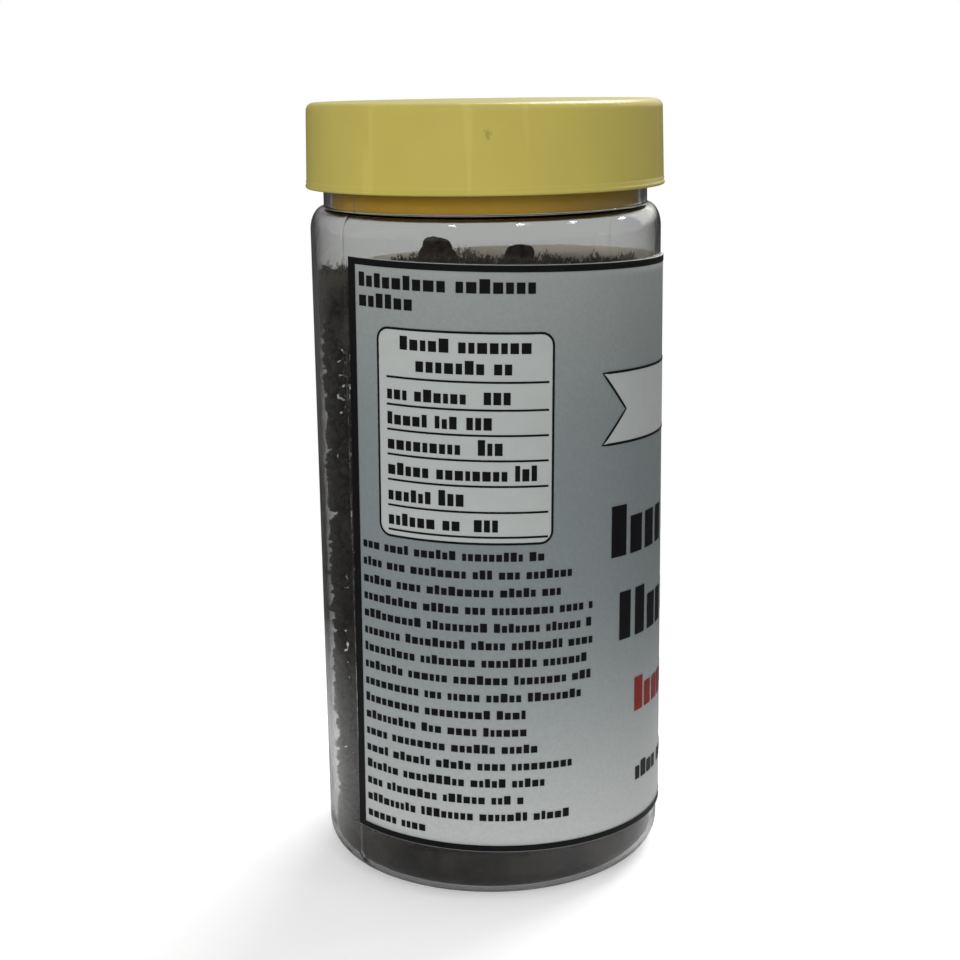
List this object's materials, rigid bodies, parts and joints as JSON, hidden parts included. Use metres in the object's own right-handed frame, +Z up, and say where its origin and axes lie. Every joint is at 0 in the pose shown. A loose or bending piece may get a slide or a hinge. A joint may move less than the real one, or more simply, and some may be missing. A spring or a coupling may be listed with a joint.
{
  "type": "jar of long pepper",
  "caption": "Clear round screw-top jar filled with dried long pepper spikes, with a grey wrap label and a yellow screw lid over a plug seal.",
  "frame": {"origin": "middle of the base, on the surface that the jar stands on", "axes": "+Z up along the jar's axis; -Y is the pictured front; the clear gap of the label faces -X"},
  "size_m": [0.067, 0.067, 0.145],
  "materials": {
    "clear_plastic": "clear gloss PET with light scuffs",
    "label_print": "printed sheet, grey gradient in a black frame, semi-gloss",
    "dried_pepper": "dry, matt, dark brown to black, covered in small berries",
    "seal_plastic": "moulded yellow, satin",
    "lid_plastic": "moulded pale yellow, satin"
  },
  "bodies": {
    "jar": {"jar": "clear_plastic", "label": "label_print", "pepper_01": "dried_pepper", "pepper_02": "dried_pepper", "pepper_03": "dried_pepper", "pepper_04": "dried_pepper", "pepper_05": "dried_pepper", "pepper_06": "dried_pepper", "pepper_07": "dried_pepper", "pepper_08": "dried_pepper", "pepper_09": "dried_pepper", "pepper_10": "dried_pepper", "pepper_11": "dried_pepper", "pepper_12": "dried_pepper", "pepper_13": "dried_pepper", "pepper_14": "dried_pepper", "pepper_15": "dried_pepper", "pepper_16": "dried_pepper", "pepper_17": "dried_pepper", "pepper_18": "dried_pepper", "pepper_19": "dried_pepper", "pepper_20": "dried_pepper", "pepper_21": "dried_pepper", "pepper_22": "dried_pepper", "pepper_23": "dried_pepper", "pepper_24": "dried_pepper", "pepper_25": "dried_pepper", "pepper_26": "dried_pepper", "pepper_27": "dried_pepper", "pepper_28": "dried_pepper", "pepper_29": "dried_pepper", "pepper_30": "dried_pepper", "pepper_31": "dried_pepper", "pepper_32": "dried_pepper", "pepper_33": "dried_pepper", "pepper_34": "dried_pepper", "pepper_35": "dried_pepper", "pepper_36": "dried_pepper", "pepper_37": "dried_pepper", "pepper_38": "dried_pepper", "pepper_39": "dried_pepper", "pepper_40": "dried_pepper", "pepper_41": "dried_pepper", "pepper_42": "dried_pepper", "pepper_43": "dried_pepper", "pepper_44": "dried_pepper", "pepper_45": "dried_pepper", "pepper_46": "dried_pepper", "pepper_47": "dried_pepper", "pepper_48": "dried_pepper"},
    "seal": {"lid_seal": "seal_plastic"},
    "lid": {"lid": "lid_plastic"}
  },
  "joints": [
    {"name": "lid_rise", "type": "slide", "parent": "jar", "child": "seal", "axis": [0, 0, 1], "range_m": [0, 0.0045]},
    {"name": "lid_turn", "type": "hinge", "parent": "seal", "child": "lid", "pos_m": [0, 0, 0.1295], "axis": [0, 0, 1], "range_deg": [0, 360]}
  ],
  "couplings": [
    {"joint": "lid_turn", "follows": "lid_rise", "rad_per_m": 1396.3}
  ]
}
